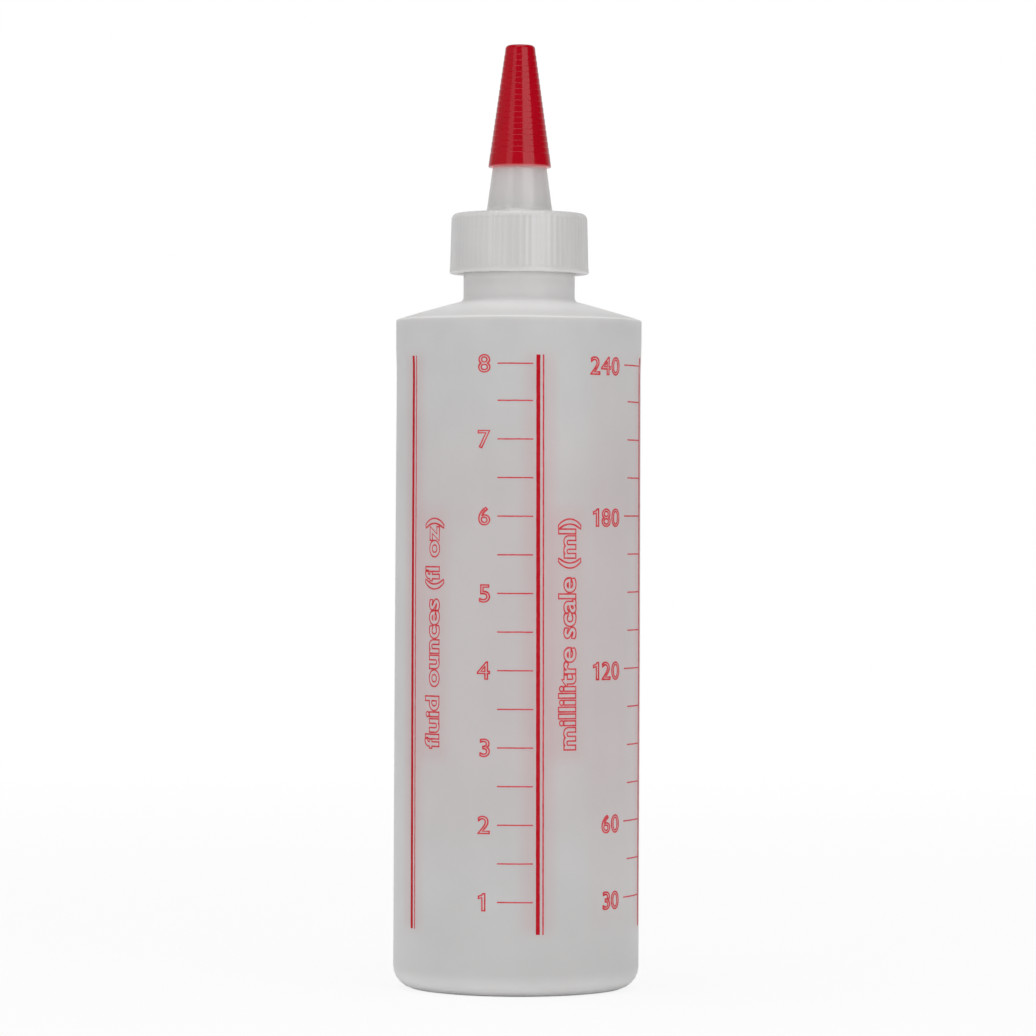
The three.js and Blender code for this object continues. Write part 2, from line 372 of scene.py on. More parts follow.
bottle_plastic = milky_plastic(
    "milky bottle plastic",
    thin=BOTTLE_THIN,
    thick=BOTTLE_PALEST,
    # Paler runs, partly thicker plastic and partly painted light: the heel and its seat painted
    # lighter against the floor's shade, a painted highlight line along the shoulder's edge, a
    # shoulder that pales up to a painted bright band at the neck's foot, and painted light on the
    # neck's top, where the closure's skirt shades it.
    runs=[
        (HEEL_RUN, HEEL_SEAT, HEEL_PALE),
        (HEEL_SEAT, 0, SEAT_PAINTED_LIGHT),
        (shoulder_edge - SHOULDER_EDGE, shoulder_edge, EDGE_PAINTED_HIGHLIGHT),
        (shoulder_edge, shoulder_edge + SHOULDER_EDGE, EDGE_HIGHLIGHT_FADE),
        (shoulder_edge + SHOULDER_EDGE, neck_foot - NECK_FOOT_RUN, SHOULDER_PALE),
        (neck_foot - NECK_FOOT_RUN, neck_foot + 2 * NECK_FOOT_RUN, NECK_FADE),
        (neck_ledge - LEDGE_RUN, neck_ledge - SKIRT_LAP, LEDGE_PAINTED_LIGHT),
        (neck_ledge - SKIRT_LAP, neck_ledge + LEDGE_RUN, LEDGE_FADE),
    ],
    satin=BOTTLE_SATIN,
    grain=BOTTLE_GRAIN,
    parting_line=PARTING_STAND,
)
bottle = placed(turned(outer_corners + inner_corners, BOTTLE_STEPS), "bottle_shell", bottle_plastic)
thread_height = mouth_height - THREAD_START - THREAD_TURNS * THREAD_PITCH
neck_thread = thread_ridge(THREAD_ROOT, THREAD_ROOT + THREAD_DEPTH, thread_height, THREAD_TURNS)
threaded(bottle, neck_thread)
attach(bottle, "bottle")
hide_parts("bottle")


# Printed scale: red ink, screen-printed round the finished bottle and cured as a thin film.
# Three double rules part an ounce scale from a millilitre scale; the numerals and the two
# captions up the side are drawn in outline. The print leans a little on the wall.
RULE_FOOT = 13.2 * MM
MIDDLE_RULE_FOOT = 12.9 * MM
RULE_HEAD = 130.0 * MM
RULE_ANGLES = (-57.5, 9.5, 79.5)
THICK_RULE = 0.82 * MM
THIN_RULE = 0.32 * MM
RULE_SPACING = 1.07 * MM
PRINT_LEAN = math.radians(1.0)
INK_LINE = 0.28 * MM
INK_STRAY = 0.035 * MM
INK_STRAY_LENGTH = 1.1 * MM
INK_STRAY_SEED = 7
LINE_STEP = 0.55 * MM
TICK_COUNT = 15
TOP_MARK_DROP = 0.31 * MM
OUNCE_TOP = 128.50 * MM
OUNCE_STEP = 7.791 * MM
OUNCE_MOST = 8
OUNCE_TICK = (-9.3, 7.2)
OUNCE_NUMERAL_EDGE = -12.5
METRIC_TOP = 128.62 * MM
METRIC_STEP = 7.782 * MM
METRIC_NUMERAL_DROP = 0.35 * MM
METRIC_TICK_END = 78.0
METRIC_LONG = 59.0
METRIC_SHORT = 62.4
METRIC_NUMERAL_EDGE = 55.0
METRIC_NUMERALS = {0: "240", 4: "180", 8: "120", 12: "60", 14: "30"}
NUMERAL_HEIGHT = 3.44 * MM
NUMERAL_WIDTH = 1.08
NUMERAL_GAP = 0.15 * MM
ONE_BEARING = 0.45 * MM
LONE_ONE = 0.45 * MM
ONE_CORNERS = (
    (0.36, 0),
    (0.36, 1),
    (0.26, 1),
    (0.18, 0.9),
    (0, 0.84),
    (0, 0.71),
    (0.2, 0.76),
    (0.2, 0),
)
CAPTION_HEIGHT = 3.55 * MM
CAPTION_FOOT = 50 * MM
CAPTION_LENGTH = 47 * MM
CAPTION_LEFT = -39.1
CAPTION_RIGHT = 27.4
CAPTION_STROKE = 0.27 * MM
OUNCE_STROKE = 0.31 * MM
METRIC_STROKE = 0.36 * MM
SHARPEST_MITRE = math.radians(90)
CAPTION_BOLD = 0.03
FONT_CAPITAL = 0.69
LETTER_CURVE_STEPS = 5
LETTER_STEP = 0.4 * MM
# Painted glow: the red light of the print, painted into the milky wall's colour round it.
GLOW_PRINT = 0.17
GLOW_RULE = 0.36
GLOW_CAPTION = 0.24
GLOW_METRIC = 0.10
METRIC_GLOW_LEFT = 40.0
GLOW_FADE = 4.2 * MM
GLOW_WIDE = 30 * MM
INK_PAINTED_GLOW = (0.60, 0.40, 0.415, 1)
HEAVY_INK_WORN = (0.49, 0.006, 0.018, 1)
HEAVY_INK_FULL = (0.46, 0.001, 0.009, 1)
FINE_INK_WORN = (0.63, 0.082, 0.096, 1)
FINE_INK_FULL = (0.58, 0.030, 0.044, 1)
INK_PATCHES_PER_METRE = 900
INK_PATCH_DETAIL = 3
INK_PATCH_RANGE = (0.35, 0.65)
INK_GRAINS_PER_METRE = 3500
INK_GRAIN = 0.01 * MM
INK_GRAIN_STRENGTH = 0.6
INK_ROUGHNESS = 0.42
INK_ROUGHNESS_SPREAD = 0.12
INK_GLOSS = 0.1

print_middle = (RULE_FOOT + RULE_HEAD) / 2
noise.seed_set(INK_STRAY_SEED)


def across(degrees):
    """How far round the wall an angle lies, from the line that faces the front."""
    return math.radians(degrees) * body_radius


def wall_radius(height):
    """The body's radius at a height."""
    for (radius, low), (next_radius, high) in zip(wall_line, wall_line[1:]):
        if low <= height <= high:
            return radius + (next_radius - radius) * (height - low) / (high - low)
    return body_radius


def printed(flat, name, ink_finish):
    """Wraps a flat print, in (way round, height, film), on the wall and lays it there as ink.

    The film is so thin that light still gets through it into the milky wall.
    """
    for point in flat.verts:
        lean = PRINT_LEAN * (print_middle - point.co.y) / (RULE_HEAD - RULE_FOOT)
        angle = point.co.x / body_radius + lean
        radius = wall_radius(point.co.y) + point.co.z
        point.co = (radius * math.sin(angle), -radius * math.cos(angle), point.co.y)
    bmesh.ops.recalc_face_normals(flat, faces=flat.faces)
    ink = placed(flat, name, ink_finish)
    ink.visible_shadow = False
    ink.visible_diffuse = False
    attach(ink, "bottle")


def ink_lines(lines):
    """A flat print of (left, right, low, high) lines whose edges stray a little, as ink's do."""
    flat = bmesh.new()
    for left, right, low, high in lines:
        middle = Matrix.Translation(((left + right) / 2, (low + high) / 2, 0))
        spread = Matrix.Diagonal((right - left, high - low, 1, 1))
        bmesh.ops.create_grid(
            flat,
            x_segments=math.ceil((right - left) / LINE_STEP),
            y_segments=math.ceil((high - low) / LINE_STEP),
            size=0.5,
            matrix=middle @ spread,
        )
    for point in flat.verts:
        point.co += INK_STRAY * noise.noise_vector(point.co / INK_STRAY_LENGTH) * Vector((1, 1, 0))
    bmesh.ops.solidify(flat, geom=flat.faces, thickness=INK_FILM)
    for point in flat.verts:
        point.co.z = INK_FILM if point.co.z > -INK_FILM / 2 else -INK_FILM
    return flat


def lettering(data):
    """A sheet that carries the outlines of some letters."""
    sheet = bpy.data.objects.new("lettering", data)
    bpy.context.scene.collection.objects.link(sheet)
    bpy.ops.object.select_all(action="DESELECT")
    sheet.select_set(True)
    bpy.context.view_layer.objects.active = sheet
    return sheet


def plain_letters(words, capital, bold=0):
    """Words in plain letters whose capitals have a height, made bolder by a share of it."""
    letters = bpy.data.curves.new("lettering", "FONT")
    letters.body = words
    letters.size = capital / FONT_CAPITAL
    letters.offset = -bold * letters.size
    sheet = lettering(letters)
    bpy.ops.object.convert(target="CURVE")
    return sheet


def flagged_one(capital):
    """A numeral one with a flag at its head."""
    outline = bpy.data.curves.new("lettering", "CURVE")
    stroke = outline.splines.new("BEZIER")
    stroke.bezier_points.add(len(ONE_CORNERS) - 1)
    stroke.use_cyclic_u = True
    for point, (right, rise) in zip(stroke.bezier_points, ONE_CORNERS):
        point.handle_left_type = "VECTOR"
        point.handle_right_type = "VECTOR"
        point.co = (right * capital, rise * capital, 0)
    return lettering(outline)


def outlined(sheet, stroke, width=1):
    """A flat print of a sheet's letters in outline, with their foot at the left end on the origin.

    The line is mitred: it is widened at the corners, so that it keeps its stroke along the sides.
    """
    for outline in sheet.data.splines:
        for corner in outline.bezier_points:
            before = corner.co - corner.handle_left
            after = corner.handle_right - corner.co
            turn = min(before.angle(after, 0), SHARPEST_MITRE)
            corner.radius = 1 / math.cos(turn / 2)
    sheet.data.dimensions = "3D"
    sheet.data.fill_mode = "FULL"
    sheet.data.bevel_depth = stroke / 2
    sheet.data.bevel_resolution = 0
    sheet.data.resolution_u = LETTER_CURVE_STEPS
    bpy.ops.object.convert(target="MESH")
    flat = bmesh.new()
    flat.from_mesh(sheet.data)
    bpy.data.meshes.remove(sheet.data)
    bmesh.ops.scale(flat, verts=flat.verts, vec=(width, 1, INK_FILM / stroke))
    straights = [edge for edge in flat.edges if edge.calc_length() > LETTER_STEP]
    cuts = math.ceil(max((edge.calc_length() for edge in straights), default=0) / LETTER_STEP)
    bmesh.ops.subdivide_edges(flat, edges=straights, cuts=cuts, use_grid_fill=True)
    left = min(point.co.x for point in flat.verts)
    bmesh.ops.translate(flat, verts=flat.verts, vec=(-left, 0, INK_FILM))
    return flat


def gathered(prints):
    """One flat print of several."""
    whole = bmesh.new()
    for flat in prints:
        mesh = bpy.data.meshes.new("print")
        flat.to_mesh(mesh)
        flat.free()
        whole.from_mesh(mesh)
        bpy.data.meshes.remove(mesh)
    return whole


def numeral(words, edge, height, stroke):
    """A number that ends at an angle, centred on a height, in outlines of a stroke's width."""
    digits = []
    reach = 0
    for digit in words:
        sheet = flagged_one(NUMERAL_HEIGHT) if digit == "1" else plain_letters(digit, NUMERAL_HEIGHT)
        flat = outlined(sheet, stroke, NUMERAL_WIDTH)
        bmesh.ops.translate(flat, verts=flat.verts, vec=(reach, 0, 0))
        bearing = ONE_BEARING if digit == "1" else 0
        reach = max(point.co.x for point in flat.verts) + bearing + NUMERAL_GAP
        digits.append(flat)
    whole = gathered(digits)
    inset = LONE_ONE if words == "1" else 0
    place = (across(edge) - reach + NUMERAL_GAP - inset, height - NUMERAL_HEIGHT / 2, 0)
    bmesh.ops.translate(whole, verts=whole.verts, vec=place)
    return whole


def caption(words, baseline):
    """Words that read up the wall from an angle."""
    flat = outlined(plain_letters(words, CAPTION_HEIGHT, CAPTION_BOLD), CAPTION_STROKE)
    length = max(point.co.x for point in flat.verts)
    bmesh.ops.scale(flat, verts=flat.verts, vec=(CAPTION_LENGTH / length, 1, 1))
    bmesh.ops.rotate(flat, verts=flat.verts, matrix=Matrix.Rotation(math.pi / 2, 3, "Z"))
    bmesh.ops.translate(flat, verts=flat.verts, vec=(across(baseline), CAPTION_FOOT, 0))
    return flat


def red_ink(name, worn, full):
    """Matt red ink that covers unevenly, from one colour where it is worn to another."""
    finish, start, place = new_finish(name)
    cover = place.noise(INK_PATCHES_PER_METRE, INK_PATCH_DETAIL).between(*INK_PATCH_RANGE)
    grain = place.noise(INK_GRAINS_PER_METRE)
    surfaced(
        start,
        Base_Color=cover.tint(worn, full),
        Roughness=INK_ROUGHNESS + INK_ROUGHNESS_SPREAD * cover,
        Specular_IOR_Level=INK_GLOSS,
        Normal=bumped(start, grain, INK_GRAIN, INK_GRAIN_STRENGTH),
    )
    return finish


heavy_ink = red_ink("heavy red ink", HEAVY_INK_WORN, HEAVY_INK_FULL)
fine_ink = red_ink("fine red ink", FINE_INK_WORN, FINE_INK_FULL)

thick_rules = []
thin_rules = []
for degrees, foot in zip(RULE_ANGLES, (RULE_FOOT, MIDDLE_RULE_FOOT, RULE_FOOT)):
    thick = across(degrees)
    thin = thick + RULE_SPACING
    thick_rules.append((thick - THICK_RULE / 2, thick + THICK_RULE / 2, foot, RULE_HEAD))
    thin_rules.append((thin - THIN_RULE / 2, thin + THIN_RULE / 2, foot, RULE_HEAD))
printed(ink_lines(thick_rules), "scale_thick_rules", heavy_ink)
printed(ink_lines(thin_rules), "scale_thin_rules", fine_ink)

ounce_heights = [OUNCE_TOP - index * OUNCE_STEP for index in range(TICK_COUNT)]
ounce_heights[0] -= TOP_MARK_DROP
ounce_left, ounce_right = map(across, OUNCE_TICK)
ounce_ticks = [
    (ounce_left, ounce_right, height - INK_LINE / 2, height + INK_LINE / 2)
    for height in ounce_heights
]
printed(ink_lines(ounce_ticks), "ounce_marks", fine_ink)
ounce_numbers = [
    numeral(str(OUNCE_MOST - index), OUNCE_NUMERAL_EDGE, height, OUNCE_STROKE)
    for index, height in enumerate(ounce_heights[::2])
]
printed(gathered(ounce_numbers), "ounce_numerals", fine_ink)
printed(caption("fluid ounces (fl oz)", CAPTION_LEFT), "ounce_caption", fine_ink)

metric_heights = [METRIC_TOP - index * METRIC_STEP for index in range(TICK_COUNT)]
metric_heights[0] -= TOP_MARK_DROP
metric_right = across(METRIC_TICK_END)
metric_ticks = [
    (
        across(METRIC_LONG if index in METRIC_NUMERALS else METRIC_SHORT),
        metric_right,
        height - INK_LINE / 2,
        height + INK_LINE / 2,
    )
    for index, height in enumerate(metric_heights)
]
printed(ink_lines(metric_ticks), "metric_marks", fine_ink)
metric_numbers = [
    numeral(words, METRIC_NUMERAL_EDGE, metric_heights[index] - METRIC_NUMERAL_DROP, METRIC_STROKE)
    for index, words in METRIC_NUMERALS.items()
]
printed(gathered(metric_numbers), "metric_numerals", fine_ink)
printed(caption("millilitre scale (ml)", CAPTION_RIGHT), "metric_caption", fine_ink)

wall = Wire(bottle_plastic.node_tree)
wall_place = wall.node("ShaderNodeTexCoord", output="Object")
wall_x = wall.node("ShaderNodeSeparateXYZ", None, {"Vector": wall_place}, output="X")
wall_turn = wall.math("ARCTAN2", wall_x, wall_x.also("Y") * -1)
wall_way = wall_turn * body_radius
wall_height = wall_x.also("Z")


def inside(way, low, high, fade):
    """1 between low and high, falling to 0 over the fade on either side."""
    return way.between(low - fade, low) * way.between(high + fade, high)


def painted_glow(finish, amount, colour):
    """Paints a glow into a finished plastic's colour: a colour that stands for light shining through
    it, by an amount that varies.
    """
    entry = finish.node_tree.nodes["Principled BSDF"].inputs["Base Color"]
    plain = Wire(finish.node_tree, entry.links[0].from_socket)
    finish.node_tree.links.new(amount.tint(plain, colour).socket, entry)


# Painted glow round the rules, the captions and the metric scale: the print's red light painted into
# the wall's colour.
caption_head = CAPTION_FOOT + CAPTION_LENGTH
print_left, _, print_right = map(across, RULE_ANGLES)
beside_rules = inside(wall_height, RULE_FOOT + GLOW_FADE / 2, RULE_HEAD - GLOW_FADE / 2, GLOW_FADE)
rule_glow = 0
for degrees in RULE_ANGLES:
    rule_way = across(degrees)
    rule_glow += inside(wall_way, rule_way - THICK_RULE, rule_way + RULE_SPACING, GLOW_FADE)
rule_glow *= beside_rules
caption_glow = 0
for degrees in (CAPTION_LEFT, CAPTION_RIGHT):
    foot_way = across(degrees)
    caption_glow += inside(wall_way, foot_way - CAPTION_HEIGHT, foot_way, GLOW_FADE)
caption_glow *= inside(wall_height, CAPTION_FOOT, caption_head, GLOW_FADE)
wide_glow = inside(wall_way, print_left, print_right, GLOW_FADE)
wide_glow *= inside(wall_height, CAPTION_FOOT, caption_head, GLOW_WIDE)
metric_glow = inside(wall_way, across(METRIC_GLOW_LEFT), print_right, GLOW_FADE)
metric_glow *= beside_rules
glow = GLOW_RULE * rule_glow + GLOW_CAPTION * caption_glow
glow += GLOW_PRINT * wide_glow + GLOW_METRIC * metric_glow
painted_glow(bottle_plastic, glow, INK_PAINTED_GLOW)


# Liner: a washer die-cut from closed-cell foam sheet. It lies loose under the closure's top
# and is pressed on the rim of the mouth, where it makes the seal.
LINER_HOLE = 8 * MM
LINER_EDGE = 0.12 * MM
LINER_STEPS = 96
FOAM_CELLS_PER_METRE = 3200
FOAM_CELL_RANGE = (0.1, 0.6)
FOAM_CELL = (0.80, 0.79, 0.76, 1)
FOAM_CELL_WALL = (0.72, 0.71, 0.68, 1)
FOAM_ROUGHNESS = 0.75
FOAM_ROUGHNESS_SPREAD = 0.15
FOAM_GRAIN = 0.06 * MM
FOAM_GRAIN_STRENGTH = 0.7

liner_low, liner_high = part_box("liner")
liner_corners = [
    (LINER_HOLE, liner_low.z, LINER_EDGE),
    (liner_high.x, liner_low.z, LINER_EDGE),
    (liner_high.x, liner_high.z, LINER_EDGE),
    (LINER_HOLE, liner_high.z, LINER_EDGE),
]
liner_foam, foam_start, foam_place = new_finish("white liner foam")
cells = foam_start.node(
    "ShaderNodeTexVoronoi",
    None,
    {"Vector": foam_place, "Scale": FOAM_CELLS_PER_METRE},
)
surfaced(
    foam_start,
    Base_Color=cells.between(*FOAM_CELL_RANGE).tint(FOAM_CELL, FOAM_CELL_WALL),
    Roughness=FOAM_ROUGHNESS + FOAM_ROUGHNESS_SPREAD * cells,
    Normal=bumped(foam_start, cells, FOAM_GRAIN, FOAM_GRAIN_STRENGTH),
)
liner = placed(turned(liner_corners, LINER_STEPS, closed=True), "liner_washer", liner_foam)
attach(liner, "seal")
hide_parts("liner")


# Spout closure: one injection moulding of the same milky polyethylene. Its ribbed skirt screws
# on the neck, its flat top takes the liner, and the long spout on it is a hollow cone that is
# open at the end.
RIB_COUNT = 68
RIB_FACETS = 6
RIB_DEPTH = 0.055 * MM
RIB_SPREAD = 0.9
RIB_SPREAD_ROW = 0.5
RIB_CREST = 2
RIB_SINK = 0.08 * MM
RIM_BAND = 0.85 * MM
RIB_RISE = 0.35 * MM
SKIRT_DRAFT = 0.35 * MM
SKIRT_INSIDE = 12.2 * MM
SKIRT_RIM_EDGE = 0.4 * MM
SKIRT_CHAMFER = 0.5 * MM
SKIRT_HEIGHT = 12.5 * MM
CLOSURE_TOP = 1.3 * MM
CLOSURE_EDGE = 1.3 * MM
CEILING_EDGE = 0.4 * MM
SPOUT_BASE = 6.85 * MM
SPOUT_FILLET = 1.1 * MM
SPOUT_TAPER = 0.1345
SPOUT_WALL = 1.2 * MM
SPOUT_EDGE = 0.4 * MM
SPOUT_INNER_EDGE = 0.2 * MM
ORIFICE = 1.3 * MM
SKIRT_THREAD_CREST = 11.1 * MM
SKIRT_THREAD_TURNS = 2
CLOSURE_GRAIN = 0.012 * MM
CLOSURE_SATIN = 0.14
CLOSURE_GLOSS = 0.9
CLOSURE_THIN = (0.634, 0.626, 0.622, 1)
CLOSURE_PALEST = (0.720, 0.7125, 0.709, 1)
SPOUT_FOOT_RUN = 1.8 * MM
SPOUT_FOOT = 0.5 * MM
FOOT_PAINTED_LIGHT = 0.95
TOP_FADE = -0.8
SKIRT_PALE = 0.29
RIM_FADE = -0.2
SKIRT_FOOT_RUN = 0.35 * MM
SKIRT_FOOT_PAINTED_LIGHT = 0.76
# Painted glow: red light from the tip cap, painted into the spout's colour round the cap's rim.
SPOUT_GLOW_REACH = 10 * MM
SPOUT_GLOW_DEPTH = 0.12
SPOUT_PAINTED_GLOW = (0.66, 0.42, 0.43, 1)

closure_low, closure_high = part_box("spout_cap")
skirt_foot = closure_low.z
skirt_radius = closure_high.x
closure_top = skirt_foot + SKIRT_HEIGHT
closure_ceiling = closure_top - CLOSURE_TOP
spout_end = closure_high.z
rib_foot = skirt_foot + RIM_BAND
rib_head = closure_top - CLOSURE_EDGE
top_radius = skirt_radius - SKIRT_DRAFT
spout_tip = SPOUT_BASE - SPOUT_TAPER * (spout_end - closure_top)
closure_corners = [
    (skirt_radius, skirt_foot, SKIRT_RIM_EDGE),
    (skirt_radius, rib_foot, SKIRT_RIM_EDGE),
    (skirt_radius - RIB_SINK, rib_foot + RIB_RISE, 0),
    (top_radius, rib_head, 0),
    (top_radius, closure_top, CLOSURE_EDGE),
    (SPOUT_BASE, closure_top, SPOUT_FILLET),
    (spout_tip, spout_end, SPOUT_EDGE),
    (ORIFICE, spout_end, SPOUT_INNER_EDGE),
    (SPOUT_BASE - SPOUT_WALL, closure_ceiling, 0),
    (SKIRT_INSIDE, closure_ceiling, CEILING_EDGE),
    (SKIRT_INSIDE, skirt_foot + SKIRT_CHAMFER, 0),
    (SKIRT_INSIDE + SKIRT_CHAMFER, skirt_foot, 0),
]
closure_shape = turned(closure_corners, RIB_COUNT * RIB_FACETS, closed=True)
for point in closure_shape.verts:
    radius = point.co.xy.length
    rise = point.co.z - rib_foot
    on_skirt = radius > SKIRT_INSIDE + SKIRT_CHAMFER
    if on_skirt and rise > RIB_RISE / 2:
        turn = RIB_COUNT * math.atan2(point.co.y, point.co.x)
        valley = 1 - ((1 + math.cos(turn)) / 2) ** RIB_CREST
        rib = Vector((round(turn / (2 * math.pi)), RIB_SPREAD_ROW, RIB_SPREAD_ROW))
        wear = 1 + RIB_SPREAD * noise.noise(rib)
        point.co.xy *= 1 - RIB_DEPTH * wear * valley / radius

closure_plastic = milky_plastic(
    "milky closure plastic",
    thin=CLOSURE_THIN,
    thick=CLOSURE_PALEST,
    # Paler runs, partly thicker plastic and partly painted light: a painted bright band round the
    # spout's foot, the rounded top edge kept darker than the skirt as painted shade against the
    # light it catches, the plain band below the ribs a little less pale, and painted light on the
    # skirt's foot and underside, which lie in shade.
    runs=[
        (closure_top + SPOUT_FOOT_RUN, closure_top + SPOUT_FOOT, FOOT_PAINTED_LIGHT),
        (closure_top + SPOUT_FOOT, closure_top, TOP_FADE),
        (rib_head, rib_head - SPOUT_FOOT, SKIRT_PALE),
        (rib_foot + RIB_RISE, rib_foot, RIM_FADE),
        (skirt_foot + SKIRT_FOOT_RUN, skirt_foot, SKIRT_FOOT_PAINTED_LIGHT),
    ],
    satin=CLOSURE_SATIN,
    grain=CLOSURE_GRAIN,
    gloss=CLOSURE_GLOSS,
)
closure_place = Wire(closure_plastic.node_tree).node("ShaderNodeTexCoord", output="Object")
closure_rise = closure_place.node(
    "ShaderNodeSeparateXYZ",
    None,
    {"Vector": closure_place},
    output="Z",
)
# The spout's painted red glow, strongest at the tip cap's rim and fading either side.
tip_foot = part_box("tip_cap")[0].z
spout_glow = closure_rise.between(tip_foot - SPOUT_GLOW_REACH, tip_foot)
spout_glow *= closure_rise.between(tip_foot + SPOUT_GLOW_REACH, tip_foot)
painted_glow(closure_plastic, SPOUT_GLOW_DEPTH * spout_glow, SPOUT_PAINTED_GLOW)
closure = placed(closure_shape, "spout_closure", closure_plastic)
skirt_thread = thread_ridge(
    SKIRT_INSIDE,
    SKIRT_THREAD_CREST,
    thread_height - THREAD_PITCH / 2,
    SKIRT_THREAD_TURNS,
)
threaded(closure, skirt_thread)
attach(closure, "closure")
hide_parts("spout_cap")


# Tip cap: a slim red cone of injection-moulded polyethylene, closed at the top. Fine steps are
# turned in its mould for grip. It is pushed on the spout's taper and holds there by friction.
# The light that comes through its wall and reddens the spout under its rim is painted: the cap's
# inner skin glows red though it is no lamp, its thin rim has a painted glow, and so has the spout.
TIP_PLAIN_BAND = 2.85 * MM
TIP_RINGS = 18
TIP_RING_PITCH = 1.195 * MM
TIP_RING_STEP = 0.085 * MM
TIP_RING_EDGE = 0.05 * MM
TIP_RING_SOFT = 0.03 * MM
TIP_RIM_GLOW_BAND = 0.5 * MM
TIP_RIM_EDGE = 0.2 * MM
TIP_TOP_EDGE = 0.75 * MM
TIP_TOP = 1.2 * MM
TIP_CLEARANCE = 0.1 * MM
TIP_CROWN = 3.0 * MM
TIP_STEPS = 128
TIP_RED_DARK = (0.420, 0.0008, 0.0090, 1)
TIP_RED_LIGHT = (0.445, 0.0012, 0.0110, 1)
TIP_RIM_PAINTED_GLOW = (0.62, 0.17, 0.18, 1)
TIP_FLOWS_PER_METRE = 220
TIP_FLOW_DETAIL = 3
TIP_FLOW_RANGE = (0.3, 0.7)
TIP_LUMPS_PER_METRE = 3000
TIP_GRAIN = 0.003 * MM
TIP_ROUGHNESS = 0.10
TIP_ROUGHNESS_SPREAD = 0.05
BLACK = (0, 0, 0, 1)
TIP_GLOW = (1.0, 0.04, 0.05, 1)
TIP_GLOW_LEVEL = 0.7
TIP_GLOW_SKIN = 0.25 * MM
TIP_GLOW_HEIGHT = 6 * MM

tip_low, tip_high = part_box("tip_cap")
tip_rim = tip_high.x
tip_height = tip_high.z - tip_low.z
tip_taper = (tip_rim - TIP_CROWN) / tip_height
tip_ceiling = tip_high.z - TIP_TOP
ring_foot = tip_low.z + TIP_PLAIN_BAND


def tip_radius(height):
    """The cone's radius at a height, between the crests and the feet of its steps."""
    return tip_rim - TIP_RING_STEP / 2 - tip_taper * (height - tip_low.z)


def bore_radius(height):
    """The radius of the cone inside, which clears the spout by a little all the way up."""
    return SPOUT_BASE - SPOUT_TAPER * (height - closure_top) + TIP_CLEARANCE


tip_corners = [
    (bore_radius(tip_low.z), tip_low.z, TIP_RIM_EDGE),
    (tip_radius(tip_low.z), tip_low.z, TIP_RIM_EDGE),
]
for ring in range(TIP_RINGS):
    ledge = ring_foot + ring * TIP_RING_PITCH
    tip_corners.append((tip_radius(ledge) + TIP_RING_STEP / 2, ledge - TIP_RING_EDGE, TIP_RING_SOFT))
    tip_corners.append((tip_radius(ledge) - TIP_RING_STEP / 2, ledge + TIP_RING_EDGE, TIP_RING_SOFT))
tip_corners += [
    (TIP_CROWN, tip_high.z, TIP_TOP_EDGE),
    (0, tip_high.z, 0),
]
tip_bore = [
    (0, tip_ceiling, 0),
    (bore_radius(tip_ceiling), tip_ceiling, TIP_RIM_EDGE),
]
tip_outline = tip_bore + tip_corners

tip_plastic, tip_start, tip_place = new_finish("red tip plastic")
tip_flow = tip_place.noise(TIP_FLOWS_PER_METRE, TIP_FLOW_DETAIL).between(*TIP_FLOW_RANGE)
tip_skin = tip_place.noise(TIP_LUMPS_PER_METRE)
tip_rise = tip_start.node("ShaderNodeSeparateXYZ", None, {"Vector": tip_place}, output="Z")
# Painted glow on the thin rim: light through the red plastic, painted in as a paler, pinker red.
rim_glow = tip_rise.between(tip_low.z + TIP_RIM_GLOW_BAND, tip_low.z)
tip_red = tip_flow.tint(TIP_RED_DARK, TIP_RED_LIGHT)
tip_across = tip_start.node(
    "ShaderNodeVectorMath",
    {"operation": "LENGTH"},
    {0: tip_place.stretched(1, 1, 0)},
    output="Value",
)
# A red glow on the cap's inner skin near the rim, though the cap is no lamp: it stands for light
# through the red wall and lights the spout red.
tip_glow = (tip_across - bore_radius(tip_rise)).between(TIP_GLOW_SKIN, 0)
tip_glow *= tip_rise.between(tip_low.z + TIP_GLOW_HEIGHT, tip_low.z)
surfaced(
    tip_start,
    Base_Color=rim_glow.tint(tip_red, TIP_RIM_PAINTED_GLOW),
    Emission_Color=tip_glow.tint(BLACK, TIP_GLOW),
    Emission_Strength=TIP_GLOW_LEVEL,
    Roughness=TIP_ROUGHNESS + TIP_ROUGHNESS_SPREAD * tip_skin,
    Normal=bumped(tip_start, tip_skin, TIP_GRAIN),
)
tip = placed(turned(tip_outline, TIP_STEPS), "tip_cone", tip_plastic)
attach(tip, "tip")
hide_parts("tip_cap")


# Studio: a pale floor that runs out into white, soft boxes to the left and right of the camera
# and one overhead. The camera is level with the bottle's body and looks square at its scale.
FLOOR_RADIUS = 4.0
FLOOR_STEPS = 64
FLOOR_NEAR = 0.15
FLOOR_FAR = 0.9
FLOOR_VEIL = 0.86
FLOOR_CLOUDS_PER_METRE = 3
FLOOR_PALE = (0.88, 0.88, 0.88, 1)
FLOOR_PALER = (0.91, 0.91, 0.91, 1)
WHITE = (1, 1, 1, 1)
WORLD_FILL = 0.66
ROOM_LEVEL = 0.01
ROOM_LEAN = 0.13
SCREEN_EDGE = 0.3
SCREEN_MIDDLE = 0.97
SCREEN_LEVEL = 0.58
CAMERA_DISTANCE = 1.0
CAMERA_HEIGHT = 0.09698
CAMERA_ROLL = math.radians(-0.28)
VIEW_WIDTH = 0.21429
SENSOR_WIDTH = 36.0

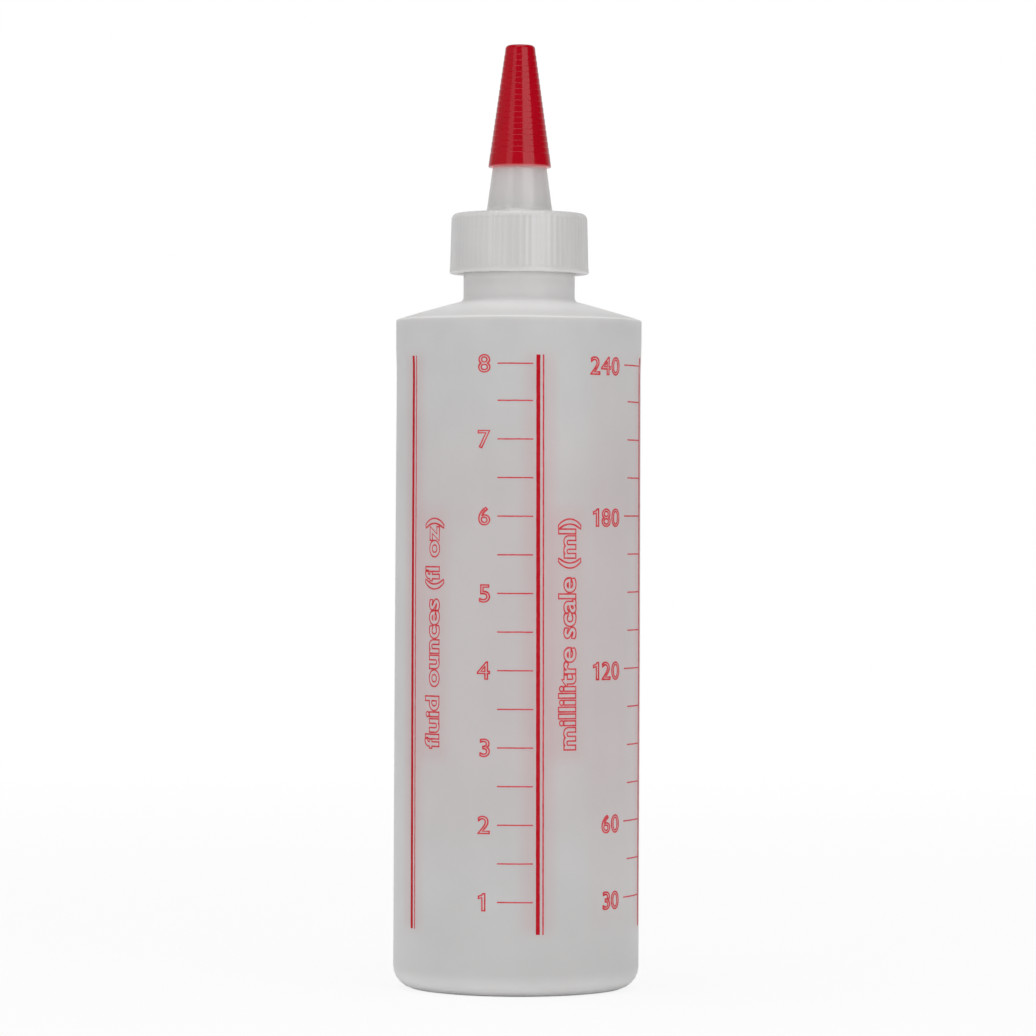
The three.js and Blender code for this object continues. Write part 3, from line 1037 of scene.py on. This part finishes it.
floor_shape = bmesh.new()
bmesh.ops.create_circle(floor_shape, cap_ends=True, radius=FLOOR_RADIUS, segments=FLOOR_STEPS)
floor_finish, floor_start, floor_place = new_finish("pale floor")
floor_distance = floor_start.node(
    "ShaderNodeVectorMath",
    {"operation": "LENGTH"},
    {0: floor_place},
    output="Value",
)
seen = floor_start.node("ShaderNodeLightPath", output="Is Camera Ray")
floor_colour = floor_place.noise(FLOOR_CLOUDS_PER_METRE).tint(FLOOR_PALE, FLOOR_PALER)
matt = floor_start.node("ShaderNodeBsdfDiffuse", None, {"Color": floor_colour})
white = floor_start.node("ShaderNodeEmission", None, {"Color": WHITE, "Strength": 1.0})
veil = floor_distance.between(FLOOR_NEAR, FLOOR_FAR) * (1 - FLOOR_VEIL) + FLOOR_VEIL
floor_mix = floor_start.node("ShaderNodeMixShader", None, {0: seen * veil, 1: matt, 2: white})
floor_start.node("ShaderNodeOutputMaterial", None, {"Surface": floor_mix})
floor = placed(floor_shape, "floor", floor_finish)

world = bpy.data.worlds.new("white studio")
world.use_nodes = True
world.node_tree.nodes.clear()
sky = Wire(world.node_tree)
ray = sky.node("ShaderNodeLightPath", output="Is Camera Ray")
mirrored = sky.math("MAXIMUM", ray.also("Is Glossy Ray"), ray.also("Is Transmission Ray"))
looking = sky.node("ShaderNodeTexCoord", output="Generated")
along = sky.node("ShaderNodeSeparateXYZ", None, {"Vector": looking}, output="Y")
behind = along.between(SCREEN_EDGE, SCREEN_MIDDLE)
reflected = ROOM_LEVEL + (SCREEN_LEVEL - ROOM_LEVEL) * behind
fill = WORLD_FILL - ROOM_LEAN * along.also("X")
level = fill + mirrored * (reflected - fill)
background = sky.node(
    "ShaderNodeBackground",
    None,
    {"Color": WHITE, "Strength": ray.math("MAXIMUM", ray, level)},
)
sky.node("ShaderNodeOutputWorld", None, {"Surface": background})
bpy.context.scene.world = world


def soft_box(name, azimuth, elevation, distance, width, height, radiance):
    """A rectangular soft box that points at the middle of the bottle, turned from the front."""
    aim = Vector((0, 0, closure_top / 2))
    turn = math.radians(azimuth)
    tilt = math.radians(elevation)
    out = Vector((math.sin(turn) * math.cos(tilt), -math.cos(turn) * math.cos(tilt), math.sin(tilt)))
    lamp = bpy.data.lights.new(name, "AREA")
    lamp.shape = "RECTANGLE"
    lamp.size = width
    lamp.size_y = height
    lamp.energy = radiance * math.pi * width * height
    stand = bpy.data.objects.new(name, lamp)
    stand.location = aim + out * distance
    stand.rotation_euler = out.to_track_quat("Z", "Y").to_euler()
    bpy.context.scene.collection.objects.link(stand)


soft_box("right box", azimuth=35, elevation=14, distance=1.2, width=0.92, height=1.1, radiance=1.15)
soft_box("left box", azimuth=-40, elevation=14, distance=1.2, width=0.46, height=1.1, radiance=0.60)
soft_box("side box", azimuth=-84, elevation=14, distance=1.2, width=1.50, height=1.1, radiance=0.17)
soft_box("top box", azimuth=0, elevation=84, distance=1.1, width=0.9, height=0.9, radiance=1.1)

camera_data = bpy.data.cameras.new("camera")
camera_data.sensor_width = SENSOR_WIDTH
camera_data.lens = SENSOR_WIDTH * CAMERA_DISTANCE / VIEW_WIDTH
camera = bpy.data.objects.new("camera", camera_data)
camera.location = (0, -CAMERA_DISTANCE, CAMERA_HEIGHT)
camera.rotation_euler = (math.pi / 2, CAMERA_ROLL, 0)
bpy.context.scene.collection.objects.link(camera)
bpy.context.scene.camera = camera
bpy.context.scene.view_settings.view_transform = "Standard"
